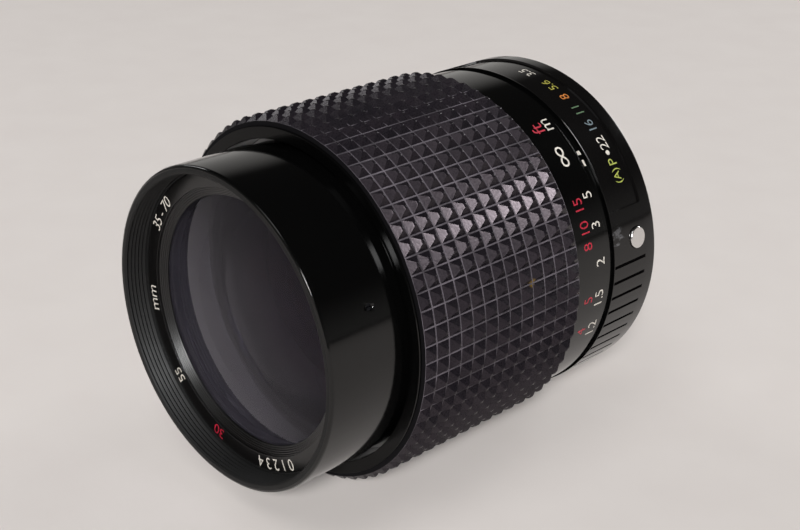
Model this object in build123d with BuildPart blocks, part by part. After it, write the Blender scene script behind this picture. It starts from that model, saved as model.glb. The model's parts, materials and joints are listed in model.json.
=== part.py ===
"""A one-touch camera zoom lens, lying on its side, as separate pieces.

The lens axis runs along Y: the front rim faces -Y and the bayonet faces +Y. +Z is up. The origin is where
the axis meets the flange face that seats on a camera. Sizes are millimetres and angles are degrees. An
angle round the axis is measured from straight up towards +X.
"""
import os
from math import asin, cos, degrees, radians, sin, sqrt

from build123d import *

os.makedirs("parts", exist_ok=True)

# Lengths along the axis, from the flange forward
flange_thickness = 1.8
aperture_ring_length = 12.1
index_ring_length = 1.4
distance_ring_length = 8.9
grip_length = 38.9
barrel_show = 16.1

# The front glass stack, from the rim back
front_glass_setback = 6.2
front_glass_length = 7.3
spacer_length = 1.2
doublet_length = 3.8

# The barrel's radius, and what stands out from it and from the gap round it
barrel_radius = 28.75
thread_wall = 1.65
grip_wall = 1.8
grip_lip_height = 0.4
rubber_base = 1.0
pyramid_height = 1.3
scale_seat_wall = 1.0
distance_ring_wall = 1.35
index_ring_wall = 2.9
aperture_ring_wall = 2.6
flange_overlap = 0.3

# Clearances and walls
running_gap = 0.05
side_gap = 0.1
loose_gap = 0.4
barrel_gap = 0.65
overrun = 2.0
seat_gap = 0.3
edge_round = 0.1
thin_wall = 0.8
tube_wall = 1.4
web = 1.2

# Travels
zoom_travel = 20.0
cam_turn = 70.0
rear_group_travel = 7.0
focus_turn = 61.0
focus_travel = 5.5
aperture_turn_back = 8.7
aperture_turn_on = 40.4
lever_turn = 18.0
button_travel = 0.7
data_pin_travel = 0.8

# Planes across the axis
ring_rear = -(flange_thickness + side_gap)
ring_front = ring_rear - aperture_ring_length
index_rear = ring_front - side_gap
index_front = index_rear - index_ring_length
scale_rear = index_front - side_gap
scale_front = scale_rear - distance_ring_length
grip_front = scale_front - grip_length
rim_front = grip_front - barrel_show
bearing_rear = grip_front + barrel_show + 2 * web
front_glass_edge = rim_front + front_glass_setback
front_glass_rear = front_glass_edge + front_glass_length
doublet_front = front_glass_rear + spacer_length + side_gap
doublet_rear = doublet_front + doublet_length

# Nested tubes, from the barrel's gap out and then in
ring_bore = barrel_radius + barrel_gap
sleeve_radius = ring_bore + grip_wall
grip_lip_radius = sleeve_radius + grip_lip_height
root_radius = sleeve_radius + rubber_base
grip_tip_radius = root_radius + pyramid_height
scale_seat_radius = ring_bore + scale_seat_wall
distance_ring_radius = scale_seat_radius + distance_ring_wall
aperture_ring_radius = ring_bore + aperture_ring_wall
flange_radius = ring_bore + flange_overlap
housing_radius = ring_bore - running_gap
grip_bore = ring_bore
carriage_radius = grip_bore - running_gap
helicoid_wall = 1.2
helicoid_radius = barrel_radius - helicoid_wall + running_gap
scale_sleeve_radius = helicoid_radius + thin_wall
scale_sleeve_bore = helicoid_radius
index_ring_radius = scale_sleeve_radius + index_ring_wall
tail_gap = 0.2
tail_radius = scale_sleeve_bore - tail_gap
fixed_barrel_radius = tail_radius - tube_wall
fixed_barrel_bore = fixed_barrel_radius - tube_wall
cam_radius = fixed_barrel_bore - running_gap
cam_bore = cam_radius - tube_wall + side_gap
cell_radius = cam_bore - running_gap
cell_bore = cell_radius - tube_wall
housing_bore = housing_radius - tube_wall - loose_gap


def outward(angle):
    """The unit vector that points away from the axis at an angle."""
    return Vector(sin(radians(angle)), 0, cos(radians(angle)))


def place(radius, angle, y):
    """A point at a radius, an angle and a distance along the axis."""
    return outward(angle) * radius + Vector(0, y, 0)


def half_plane(angle=90):
    """A plane through the axis: local x is the radius at that angle and local y is the axis."""
    return Plane(origin=(0, 0, 0), x_dir=outward(angle), z_dir=outward(angle).cross(Vector(0, 1, 0)))


def radial_plane(radius, angle, y):
    """A plane square to the radius at a place, with local x along the axis."""
    return Plane(origin=place(radius, angle, y), x_dir=(0, 1, 0), z_dir=outward(angle))


def turned(*rings, start=90, sweep=360, mode=Mode.ADD):
    """Turn rectangles round the axis, each given as bore, radius, front and rear."""
    with BuildSketch(half_plane(start)) as profile:
        for bore, radius, front, rear in rings:
            with Locations(((bore + radius) / 2, (front + rear) / 2)):
                Rectangle(radius - bore, rear - front)
    revolve(profile.sketch, axis=Axis.Y, revolution_arc=sweep, mode=mode)


def turned_outline(points, mode=Mode.ADD):
    """Turn a closed outline of (radius, y) points round the axis."""
    with BuildSketch(half_plane()) as profile:
        with BuildLine():
            Polyline(*points, close=True)
        make_face()
    revolve(profile.sketch, axis=Axis.Y, mode=mode)


def radial_pin(pin_radius, angle, y, inner, outer, mode=Mode.ADD):
    """A round pin or hole along the radius at an angle."""
    with Locations(radial_plane(inner, angle, y)):
        Cylinder(pin_radius, outer - inner, align=(Align.CENTER, Align.CENTER, Align.MIN), mode=mode)


def axial_pin(pin_radius, radius, angle, front, rear, mode=Mode.ADD):
    """A round pin or hole along the axis, at a radius and an angle."""
    with Locations(Plane(origin=place(radius, angle, front), x_dir=(1, 0, 0), z_dir=(0, 1, 0))):
        Cylinder(pin_radius, rear - front, align=(Align.CENTER, Align.CENTER, Align.MIN), mode=mode)


def straight_slot(half_width, angle, front, rear, inner, outer):
    """Cut a round-ended slot along the axis through a wall, between two pin positions."""
    with BuildSketch(radial_plane(inner, angle, (front + rear) / 2)) as profile:
        SlotCenterToCenter(rear - front, 2 * half_width)
    extrude(profile.sketch, amount=outer - inner, mode=Mode.SUBTRACT)


def cam_slot(half_width, angle, y, travel, inner, outer):
    """Cut a helical slot whose rear end is at an angle and a y, and which rises as the tube turns."""
    start = angle - cam_turn
    with BuildPart() as cutter:
        with BuildLine() as path:
            Helix(pitch=travel * 360 / cam_turn, height=travel, radius=(inner + outer) / 2)
        with BuildSketch(Plane(path.line @ 0, x_dir=(1, 0, 0), z_dir=path.line % 0)) as profile:
            Rectangle(outer - inner, 2 * half_width)
        sweep(profile.sketch, path=path.line, is_frenet=True)
    with Locations(Plane(origin=(0, y - travel, 0), x_dir=outward(start), z_dir=(0, 1, 0))):
        add(cutter.part, mode=Mode.SUBTRACT)
    for end_angle, end_y in ((start, y - travel), (angle, y)):
        radial_pin(half_width, end_angle, end_y, inner, outer, mode=Mode.SUBTRACT)


def lens_surface(radius, edge, vertex):
    """Draw a round lens surface from the axis to its edge."""
    depth = vertex - edge
    curve = (radius**2 + depth**2) / (2 * abs(depth))
    drop = curve - sqrt(curve**2 - (radius / 2) ** 2)
    middle = vertex - drop if depth > 0 else vertex + drop
    ThreePointArc((0, vertex), (radius / 2, middle), (radius, edge))


def turned_glass(radius, front_edge, rear_edge, front_vertex, rear_vertex):
    """Turn a lens element from where its two surfaces meet the edge and the axis."""
    with BuildSketch(half_plane()) as profile:
        with BuildLine():
            lens_surface(radius, front_edge, front_vertex)
            Line((radius, front_edge), (radius, rear_edge))
            lens_surface(radius, rear_edge, rear_vertex)
            Line((0, rear_vertex), (0, front_vertex))
        make_face()
    revolve(profile.sketch, axis=Axis.Y)


def keep(part, name):
    """Label a finished piece and write its file."""
    part.label = name
    export_step(part, f"parts/{name}.step")


# Bayonet: a flange, a neck that enters the camera's throat, and three lugs
flange_shoulder = 7.75
neck_radius = flange_radius - flange_shoulder
neck_wall = 1.25
neck_length = 5.0
lug_height = 2.05
lug_radius = neck_radius + lug_height
lug_front = 1.9
lug_thickness = 1.6
lug_sweep = 55.0
lug_count = 3
root_relief = 0.3
register_bore = lug_radius + root_relief
mount_bore = neck_radius - neck_wall
screw_margin = 3.3
screw_circle = flange_radius - screw_margin
screw_head_radius = 1.5
screw_head_height = 0.8
screw_radius = 0.8
screw_count = 5
screw_recess = 0.1
driver_slot_width = 0.35
driver_slot_depth = 0.4
data_pin_radius = 0.7
data_pin_angle = 324.0
data_pin_left = 0.2
data_pin_rise = data_pin_travel + data_pin_left
screw_angles = [turn * 360 / screw_count for turn in range(screw_count)]

with BuildPart() as bayonet_mount:
    turned((mount_bore, flange_radius, -flange_thickness, 0), (mount_bore, neck_radius, 0, neck_length))
    turned((neck_radius, register_bore, -root_relief, overrun), mode=Mode.SUBTRACT)
    for lug in range(lug_count):
        turned(
            (neck_radius - neck_wall / 2, lug_radius, lug_front, lug_front + lug_thickness),
            start=lug * 360 / lug_count,
            sweep=lug_sweep,
        )
    for angle in screw_angles:
        axial_pin(screw_radius, screw_circle, angle, -flange_thickness, 0, mode=Mode.SUBTRACT)
        axial_pin(
            screw_head_radius, screw_circle, angle, -screw_head_height - screw_recess, 0, mode=Mode.SUBTRACT
        )
    axial_pin(
        data_pin_radius + side_gap, screw_circle, data_pin_angle, -flange_thickness, 0, mode=Mode.SUBTRACT
    )
keep(bayonet_mount.part, "bayonet_mount")

# Rear plate: carries the rear lens cell, and the flange is screwed to it
plate_thickness = 1.6
plate_front = -flange_thickness - plate_thickness
lever_wall = 1.4
tab_gap = 0.3
lever_radius = mount_bore - tab_gap
lever_bore = lever_radius - lever_wall
rear_cell_radius = lever_bore - loose_gap
lever_angle = 60.0
tab_sweep = 8.0
link_angle = 250.0
slot_margin = 2.0


def tab_slot(angle, turn_back, turn_on):
    """Cut the arc that a tab sweeps through the rear plate."""
    turned(
        (lever_bore - side_gap, lever_radius + side_gap, plate_front - overrun, 0),
        start=angle - tab_sweep / 2 - turn_back - slot_margin,
        sweep=tab_sweep + turn_back + turn_on + 2 * slot_margin,
        mode=Mode.SUBTRACT,
    )


with BuildPart() as rear_plate:
    turned((rear_cell_radius, housing_bore, plate_front, -flange_thickness))
    tab_slot(lever_angle, 0, lever_turn)
    tab_slot(link_angle, aperture_turn_back, aperture_turn_on)
    for angle in screw_angles:
        axial_pin(
            screw_radius, screw_circle, angle, plate_front, -flange_thickness, mode=Mode.SUBTRACT
        )
    axial_pin(
        data_pin_radius + side_gap,
        screw_circle,
        data_pin_angle,
        plate_front,
        -flange_thickness,
        mode=Mode.SUBTRACT,
    )
keep(rear_plate.part, "rear_plate")

with BuildPart() as mount_screws:
    for angle in screw_angles:
        axial_pin(screw_radius, screw_circle, angle, plate_front + screw_recess, -screw_head_height)
        axial_pin(
            screw_head_radius,
            screw_circle,
            angle,
            -screw_head_height - screw_recess,
            -screw_recess,
        )
        with Locations(Plane(origin=place(screw_circle, angle, -screw_recess), z_dir=(0, 1, 0))):
            Box(
                driver_slot_width,
                2 * screw_head_radius,
                2 * driver_slot_depth,
                mode=Mode.SUBTRACT,
            )
keep(mount_screws.part, "mount_screws")

# Sprung data pin in the flange, with a head that keeps it in
data_pin_head_radius = 1.0
data_pin_head_height = 0.8
data_pin_head_rear = plate_front - side_gap

with BuildPart() as data_pin:
    axial_pin(data_pin_radius, screw_circle, data_pin_angle, data_pin_head_rear, data_pin_rise)
    axial_pin(
        data_pin_head_radius,
        screw_circle,
        data_pin_angle,
        data_pin_head_rear - data_pin_head_height,
        data_pin_head_rear,
    )
    fillet(data_pin.faces().sort_by(Axis.Y)[-1].edges(), data_pin_radius / 2)
keep(data_pin.part, "data_pin")

# Rear lens cell, fixed behind the zoom groups, with its element, retainer and baffle
rear_cell_wall = 2.6
rear_glass_radius = rear_cell_radius - rear_cell_wall
rear_cell_front = -13.0
rear_cell_rear = -1.0
seat_depth = 1.2
rear_glass_length = 6.4
rear_glass_bulge = 1.4
retainer_length = 1.2
baffle_cover = 1.5
baffle_bore = rear_glass_radius - baffle_cover
baffle_length = 4.8
rear_glass_front = rear_cell_front + seat_depth
rear_glass_rear = rear_glass_front + rear_glass_length

with BuildPart() as rear_lens_cell:
    turned(
        (rear_glass_radius, rear_cell_radius, rear_cell_front, rear_cell_rear),
        (rear_glass_radius - seat_depth, rear_cell_radius, rear_cell_front, rear_glass_front),
    )
keep(rear_lens_cell.part, "rear_lens_cell")

with BuildPart() as rear_element:
    turned_glass(
        rear_glass_radius,
        rear_glass_front,
        rear_glass_rear,
        rear_glass_front + rear_glass_bulge / 2,
        rear_glass_rear + rear_glass_bulge,
    )
keep(rear_element.part, "rear_element")

with BuildPart() as rear_retainer:
    turned(
        (
            rear_glass_radius - seat_depth,
            rear_glass_radius,
            rear_glass_rear + seat_gap,
            rear_glass_rear + seat_gap + retainer_length,
        )
    )
keep(rear_retainer.part, "rear_retainer")

with BuildPart() as rear_baffle:
    turned_outline(
        [
            (rear_glass_radius - seat_depth, rear_cell_rear),
            (rear_cell_radius - side_gap, rear_cell_rear),
            (rear_cell_radius - side_gap, rear_cell_rear + baffle_length),
            (baffle_bore, rear_cell_rear + baffle_length),
            (baffle_bore, rear_cell_rear + baffle_length - thin_wall),
            (rear_cell_radius - side_gap - thin_wall, rear_cell_rear + baffle_length - thin_wall),
            (rear_cell_radius - side_gap - thin_wall, rear_cell_rear + thin_wall),
            (rear_glass_radius - seat_depth, rear_cell_rear + thin_wall),
        ]
    )
keep(rear_baffle.part, "rear_baffle")

# Rear housing: the aperture ring turns on it, and the fixed barrel butts against its front web
link_y = ring_rear - aperture_ring_length / 2
link_screw_radius = 0.8
ball_radius = 0.75
ball_angle = 120.0
ball_y = ring_front + 2 * tube_wall
smallest_stop = 3.2
stop_spacing = 7.07
stop_count = 6
ball_rise = 0.05
spring_thickness = 0.25
spring_sweep = 30.0
ball_centre = housing_radius - ball_rise - ball_radius

with BuildPart() as rear_housing:
    turned(
        (housing_bore, housing_radius, ring_front, -flange_thickness),
        (fixed_barrel_bore, housing_radius, ring_front, ring_front + web),
    )
    turned(
        (
            housing_bore - overrun,
            housing_radius + overrun,
            link_y - link_screw_radius - side_gap,
            link_y + link_screw_radius + side_gap,
        ),
        start=link_angle - aperture_turn_back - slot_margin - side_gap,
        sweep=aperture_turn_back + aperture_turn_on + 2 * (slot_margin + side_gap),
        mode=Mode.SUBTRACT,
    )
    radial_pin(
        ball_radius + running_gap,
        ball_angle,
        ball_y,
        housing_bore - overrun,
        housing_radius + overrun,
        mode=Mode.SUBTRACT,
    )
keep(rear_housing.part, "rear_housing")

with BuildPart() as detent_ball:
    with Locations(place(ball_centre, ball_angle, ball_y)):
        Sphere(ball_radius)
keep(detent_ball.part, "detent_ball")

with BuildPart() as detent_spring:
    turned(
        (
            housing_bore - running_gap - spring_thickness,
            housing_bore - running_gap,
            ball_y - ball_radius,
            ball_y + ball_radius,
        ),
        start=ball_angle - spring_sweep / 2,
        sweep=spring_sweep,
    )
keep(detent_spring.part, "detent_spring")

# Fixed barrel: straight slots keep the zoom keys and the cam followers from turning
stack_gap = 0.9
cam_setback = 6.0
group_setback = 3.9
key_inset = 11.0
follower_inset = 1.6
barrel_front = doublet_rear + stack_gap
cam_rear = ring_front - cam_setback
group_rear = cam_rear - group_setback
key_y = bearing_rear + key_inset
follower_y = group_rear - follower_inset
key_radius = 1.0
key_count = 3
key_angles = [turn * 360 / key_count for turn in range(key_count)]
follower_shift = 80.0
follower_angles = [angle + follower_shift for angle in key_angles]
slot_half_width = key_radius + side_gap
cam_slot_half_width = key_radius + 2 * side_gap

with BuildPart() as fixed_barrel:
    turned((fixed_barrel_bore, fixed_barrel_radius, barrel_front, ring_front))
    for angle in key_angles:
        straight_slot(
            slot_half_width, angle, key_y - zoom_travel, key_y, fixed_barrel_bore - overrun,
            fixed_barrel_radius + overrun,
        )
    for angle in follower_angles:
        straight_slot(
            slot_half_width, angle, follower_y - rear_group_travel, follower_y,
            fixed_barrel_bore - overrun, fixed_barrel_radius + overrun,
        )
keep(fixed_barrel.part, "fixed_barrel")

# Scale sleeve: the outer fixed tube that the grip uncovers as it slides forward
scale_sleeve_gap = 0.7

with BuildPart() as scale_sleeve:
    turned((scale_sleeve_bore, scale_sleeve_radius, bearing_rear + scale_sleeve_gap, ring_front))
keep(scale_sleeve.part, "scale_sleeve")

with BuildPart() as index_ring:
    turned((scale_sleeve_radius, index_ring_radius, index_front, index_rear))
    fillet(index_ring.edges().filter_by(GeomType.CIRCLE).sort_by(SortBy.RADIUS)[-2:], edge_round)
keep(index_ring.part, "index_ring")

# Cam tube: turns inside the fixed barrel, and its helical slots drive the rear group
cam_inset = 2.0
cam_stop_length = 1.5

with BuildPart() as cam_tube:
    turned((cam_bore, cam_radius, barrel_front + cam_inset, cam_rear))
    for angle in key_angles:
        cam_slot(
            cam_slot_half_width, angle, key_y, zoom_travel, cam_bore - overrun, cam_radius + overrun
        )
    for angle in follower_angles:
        cam_slot(
            cam_slot_half_width, angle, follower_y, rear_group_travel, cam_bore - overrun,
            cam_radius + overrun,
        )
keep(cam_tube.part, "cam_tube")

with BuildPart() as cam_stop_ring:
    turned((cam_bore, fixed_barrel_bore, cam_rear + side_gap, cam_rear + side_gap + cam_stop_length))
keep(cam_stop_ring.part, "cam_stop_ring")

# Zoom carriage: slides on the fixed barrel, and the grip turns on its bearing
bearing_length = 11.7
tail_setback = 8.9
tail_rear = ring_front - tail_setback
helicoid_rear = bearing_rear - web - side_gap
bearing_front = bearing_rear - bearing_length
tail_bore = fixed_barrel_radius + running_gap
stop_screw_radius = 0.9
stop_screw_angle = 200.0
stop_screw_rise = 0.6
stop_screw_y = bearing_front + bearing_length / 2

with BuildPart() as zoom_carriage:
    turned(
        (helicoid_radius + running_gap, carriage_radius, bearing_front, bearing_rear),
        (tail_bore, carriage_radius, bearing_rear - web, bearing_rear),
        (tail_bore, tail_radius, bearing_rear - web, tail_rear),
    )
    for angle in key_angles:
        radial_pin(
            key_radius, angle, key_y, tail_bore - overrun, tail_radius + overrun, mode=Mode.SUBTRACT
        )
    radial_pin(
        stop_screw_radius, stop_screw_angle, stop_screw_y, helicoid_radius - overrun,
        carriage_radius + overrun, mode=Mode.SUBTRACT,
    )
keep(zoom_carriage.part, "zoom_carriage")

with BuildPart() as zoom_keys:
    for angle in key_angles:
        radial_pin(key_radius, angle, key_y, cam_bore + side_gap, tail_radius - side_gap)
keep(zoom_keys.part, "zoom_keys")

with BuildPart() as focus_stop_screw:
    radial_pin(
        stop_screw_radius, stop_screw_angle, stop_screw_y, helicoid_radius + 2 * side_gap,
        carriage_radius + stop_screw_rise,
    )
keep(focus_stop_screw.part, "focus_stop_screw")

# Grip sleeve: the metal tube under the rubber, with a lip in front and the distance ring behind
lip_length = 0.6
velvet_length = 1.0
groove_margin = degrees(asin((stop_screw_radius + side_gap) / carriage_radius))

with BuildPart() as grip_sleeve:
    turned(
        (grip_bore, sleeve_radius, grip_front, scale_front),
        (grip_bore, grip_lip_radius, grip_front, grip_front + lip_length),
        (grip_bore, scale_seat_radius, scale_front, scale_rear - velvet_length - 2 * side_gap),
    )
    turned(
        (
            grip_bore - overrun,
            carriage_radius + stop_screw_rise + side_gap,
            stop_screw_y - stop_screw_radius - side_gap,
            stop_screw_y + stop_screw_radius + side_gap,
        ),
        start=stop_screw_angle - groove_margin,
        sweep=focus_turn + 2 * groove_margin,
        mode=Mode.SUBTRACT,
    )
keep(grip_sleeve.part, "grip_sleeve")

# Rubber grip: rings of ridges that the moulded pyramids stand in
row_count = 13
rubber_front = grip_front + lip_length
row_pitch = (scale_front - rubber_front) / row_count
valley_share = 0.1
valley = row_pitch * valley_share

with BuildPart() as rubber_grip:
    outline = [(sleeve_radius, scale_front), (sleeve_radius, rubber_front)]
    for row in range(row_count):
        row_front = rubber_front + row * row_pitch
        outline.append((root_radius, row_front))
        outline.append((root_radius, row_front + valley))
        outline.append((grip_tip_radius, row_front + row_pitch / 2))
        outline.append((root_radius, row_front + row_pitch - valley))
    outline.append((root_radius, scale_front))
    turned_outline(outline)
keep(rubber_grip.part, "rubber_grip")

with BuildPart() as distance_ring:
    turned((scale_seat_radius, distance_ring_radius, scale_front, scale_rear))
    fillet(distance_ring.edges().filter_by(GeomType.CIRCLE).sort_by(SortBy.RADIUS)[-2:], 2 * edge_round)
keep(distance_ring.part, "distance_ring")

with BuildPart() as velvet_ring:
    turned(
        (
            scale_sleeve_radius + running_gap,
            scale_seat_radius,
            scale_rear - velvet_length - side_gap,
            scale_rear - side_gap,
        )
    )
keep(velvet_ring.part, "velvet_ring")

# Front barrel: filter thread, name ring seat, cell seat and the socket of the helicoid tube
thread_length = 4.6
name_ring_thickness = 2.0
name_seat_step = 0.3
hood_seat_length = 14.9
waist_depth = 0.35
barrel_cover = 0.9
cell_seat_step = 1.6
rim_round = 0.6
helicoid_length = 15.8
helicoid_bore = helicoid_radius - helicoid_wall
filter_bore_radius = barrel_radius - thread_wall
name_seat_radius = filter_bore_radius - name_seat_step
cell_outer = name_seat_radius - cell_seat_step
front_barrel_rear = grip_front + focus_travel + barrel_cover
waist_radius = barrel_radius - waist_depth
waist_front = rim_front + hood_seat_length
name_ring_front = rim_front + thread_length
cell_front = name_ring_front + name_ring_thickness
socket_front = helicoid_rear - helicoid_length
set_screw_radius = 0.6
set_screw_angle = 68.2
set_screw_length = 1.2
set_screw_sink = 0.2
set_screw_setback = 9.8
set_screw_y = rim_front + set_screw_setback

with BuildPart() as front_barrel:
    turned_outline(
        [
            (filter_bore_radius, rim_front),
            (barrel_radius, rim_front),
            (barrel_radius, waist_front),
            (waist_radius, waist_front),
            (waist_radius, front_barrel_rear),
            (helicoid_radius, front_barrel_rear),
            (helicoid_radius, socket_front),
            (cell_outer, socket_front),
            (cell_outer, cell_front),
            (name_seat_radius, cell_front),
            (name_seat_radius, name_ring_front),
            (filter_bore_radius, name_ring_front),
        ]
    )
    rim = front_barrel.edges().filter_by(GeomType.CIRCLE).group_by(Axis.Y)[0].sort_by(SortBy.RADIUS)
    fillet(rim[-1], rim_round)
    chamfer(rim[0], rim_round / 2)
    radial_pin(
        set_screw_radius + running_gap,
        set_screw_angle,
        set_screw_y,
        barrel_radius - set_screw_length - set_screw_sink,
        barrel_radius + overrun,
        mode=Mode.SUBTRACT,
    )
keep(front_barrel.part, "front_barrel")

with BuildPart() as barrel_set_screw:
    radial_pin(
        set_screw_radius,
        set_screw_angle,
        set_screw_y,
        barrel_radius - set_screw_length - set_screw_sink,
        barrel_radius - set_screw_sink,
    )
keep(barrel_set_screw.part, "barrel_set_screw")

with BuildPart() as helicoid_tube:
    turned((helicoid_bore, helicoid_radius, socket_front, helicoid_rear))
keep(helicoid_tube.part, "helicoid_tube")

# Front optics: the cell, its two elements, the stepped retaining ring and the name ring
front_cell_wall = 2.5
front_glass_cover = 0.4
spacer_wall = 0.4
name_ring_width = 2.8
front_glass_radius = cell_outer - front_cell_wall
front_glass_clear = front_glass_radius - front_glass_cover
name_ring_bore = name_seat_radius - name_ring_width
front_glass_bulge = 1.7
front_glass_hollow = 5.0
doublet_bulge = 2.6
doublet_hollow = 2.0
step_count = 3
retaining_sink = 0.4
retaining_front = name_ring_front + retaining_sink
retaining_rear = front_glass_edge - loose_gap

with BuildPart() as front_lens_cell:
    turned(
        (front_glass_radius, cell_outer, cell_front, doublet_rear),
        (
            front_glass_radius - spacer_wall,
            front_glass_radius,
            front_glass_rear,
            front_glass_rear + spacer_length,
        ),
    )
keep(front_lens_cell.part, "front_lens_cell")

with BuildPart() as front_element:
    turned_glass(
        front_glass_radius,
        front_glass_edge,
        front_glass_rear,
        front_glass_edge - front_glass_bulge,
        front_glass_rear - front_glass_hollow,
    )
keep(front_element.part, "front_element")

with BuildPart() as front_doublet:
    turned_glass(
        front_glass_radius,
        doublet_front,
        doublet_rear,
        doublet_front - doublet_bulge,
        doublet_rear - doublet_hollow,
    )
keep(front_doublet.part, "front_doublet")

step_width = (name_ring_bore - front_glass_clear) / step_count
step_depth = (retaining_rear - retaining_front) / (step_count + 1)

with BuildPart() as front_retaining_ring:
    outline = [(name_ring_bore, cell_front), (name_ring_bore, retaining_front)]
    for step in range(step_count):
        step_radius = name_ring_bore - step * step_width
        step_front = retaining_front + step * step_depth
        outline.append((step_radius - step_width, step_front))
        outline.append((step_radius - step_width, step_front + step_depth))
    outline[-1] = (front_glass_clear, retaining_rear)
    outline.append((front_glass_radius, retaining_rear))
    outline.append((front_glass_radius, cell_front))
    turned_outline(outline)
keep(front_retaining_ring.part, "front_retaining_ring")

with BuildPart() as name_ring:
    turned((name_ring_bore, name_seat_radius, name_ring_front, cell_front))
keep(name_ring.part, "name_ring")

# Rear zoom group: a cell in the cam tube with the moving lenses and the diaphragm
zoom_cell_wall = 5.2
zoom_glass_radius = cell_radius - zoom_cell_wall
zoom_glass_seat = 1.2
group_length = 20.0
seat_length = 6.0
group_front = group_rear - group_length
seat_front = group_front + seat_length
front_gap_share = 0.22
split_share = 0.56
variator_hollow = 1.5
variator_front_edge = group_front + seat_length * front_gap_share
variator_split = group_front + seat_length * split_share

with BuildPart() as rear_group_cell:
    turned(
        (cell_bore, cell_radius, group_front, group_rear),
        (zoom_glass_radius, cell_radius, group_front, seat_front + thin_wall),
        (zoom_glass_radius - zoom_glass_seat, cell_radius, seat_front, seat_front + thin_wall),
    )
    for angle in follower_angles:
        radial_pin(
            key_radius, angle, follower_y, cell_bore - overrun, cell_radius + overrun,
            mode=Mode.SUBTRACT,
        )
keep(rear_group_cell.part, "rear_group_cell")

with BuildPart() as cam_followers:
    for angle in follower_angles:
        radial_pin(
            key_radius, angle, follower_y, cell_bore + side_gap, fixed_barrel_radius - side_gap
        )
keep(cam_followers.part, "cam_followers")

with BuildPart() as variator_retainer:
    turned(
        (
            zoom_glass_radius - zoom_glass_seat,
            zoom_glass_radius,
            group_front + side_gap,
            variator_front_edge - side_gap,
        )
    )
keep(variator_retainer.part, "variator_retainer")

with BuildPart() as variator_front_element:
    turned_glass(
        zoom_glass_radius,
        variator_front_edge,
        variator_split - side_gap,
        variator_front_edge + variator_hollow / 2,
        variator_split - side_gap - variator_hollow / 4,
    )
keep(variator_front_element.part, "variator_front_element")

with BuildPart() as variator_rear_element:
    turned_glass(
        zoom_glass_radius,
        variator_split,
        seat_front,
        variator_split + variator_hollow / 4,
        seat_front - variator_hollow / 2,
    )
keep(variator_rear_element.part, "variator_rear_element")

# Diaphragm: six thin blades, each on its own level, between a pivot plate and a cover
blade_count = 6
blade_thickness = 0.15
blade_gap = 0.1
blade_width = 5.7
blade_sweep = 140.0
blade_edge = 1.0
pivot_radius = 0.45
pivot_boss_radius = 1.1
closed_turn = 31.2
plate_wall = 0.8
fork_wall = 1.4
fork_gap = 0.8
prong_step = 0.7
pivot_step = 2.7
iris_width = 3.3
iris_gap = 0.2
pivot_plate_front = seat_front + 2 * thin_wall
pivot_plate_rear = pivot_plate_front + plate_wall
fork_radius = cell_bore - fork_gap
fork_bore = fork_radius - fork_wall
iris_radius = fork_bore - prong_step
iris_bore = iris_radius - iris_width
pivot_circle = iris_radius - pivot_step
blade_bore = pivot_circle - blade_edge - blade_width
diaphragm_bore = blade_bore - blade_edge / 2
blade_level = blade_thickness + blade_gap
iris_front = pivot_plate_rear + blade_count * blade_level + iris_gap
iris_rear = iris_front + plate_wall
cover_front = iris_rear + iris_gap
cover_rear = cover_front + plate_wall
iris_turn = aperture_turn_back + aperture_turn_on
blade_ratio = closed_turn / iris_turn
rest_turn = closed_turn - aperture_turn_back * blade_ratio
blade_angles = [turn * 360 / blade_count for turn in range(blade_count)]

with BuildPart() as diaphragm_plate:
    turned((diaphragm_bore, cell_bore, pivot_plate_front, pivot_plate_rear))
    for angle in blade_angles:
        axial_pin(
            pivot_radius + running_gap, pivot_circle, angle, pivot_plate_front - overrun,
            pivot_plate_rear, mode=Mode.SUBTRACT,
        )
keep(diaphragm_plate.part, "diaphragm_plate")

for number, angle in enumerate(blade_angles):
    blade_front = pivot_plate_rear + blade_gap + number * blade_level
    blade_plane = Plane(
        origin=place(pivot_circle, angle, blade_front), x_dir=outward(angle + rest_turn), z_dir=(0, 1, 0)
    )
    centre = (-pivot_circle, 0)
    outer = blade_bore + blade_width
    tip = Vector(-pivot_circle, 0) + Vector(1, 0).rotate(Axis.Z, blade_sweep) * blade_bore
    tip_outer = Vector(-pivot_circle, 0) + Vector(1, 0).rotate(Axis.Z, blade_sweep) * outer
    with BuildPart() as iris_blade:
        with BuildSketch(blade_plane):
            with BuildLine():
                CenterArc(centre, outer, 0, blade_sweep)
                Line(tip_outer, tip)
                CenterArc(centre, blade_bore, 0, blade_sweep)
                Line((blade_bore - pivot_circle, 0), (outer - pivot_circle, 0))
            make_face()
            Circle(pivot_boss_radius)
            with Locations((-blade_width / 4, 0)):
                Rectangle(blade_width / 2, 2 * pivot_boss_radius)
        extrude(amount=blade_thickness)
        axial_pin(pivot_radius, pivot_circle, angle, pivot_plate_front, blade_front)
    keep(iris_blade.part, f"iris_blade_{number + 1}")

# Iris ring: its fork runs back to the bar that the aperture ring turns
bar_sweep = 6.0
prong_sweep = 4.0
prong_gap = 0.6
fork_rear = ring_front - side_gap
bar_front = group_rear - side_gap
prong_angles = [
    link_angle - bar_sweep / 2 - prong_gap - prong_sweep,
    link_angle + bar_sweep / 2 + prong_gap,
]
lug_start = prong_angles[0]
lug_arc = bar_sweep + 2 * (prong_gap + prong_sweep)

with BuildPart() as iris_ring:
    turned((iris_bore, iris_radius, iris_front, iris_rear))
    turned((iris_bore, fork_radius, iris_front, iris_rear), start=lug_start, sweep=lug_arc)
    for angle in prong_angles:
        turned((fork_bore, fork_radius, iris_front, fork_rear), start=angle, sweep=prong_sweep)
keep(iris_ring.part, "iris_ring")

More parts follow.
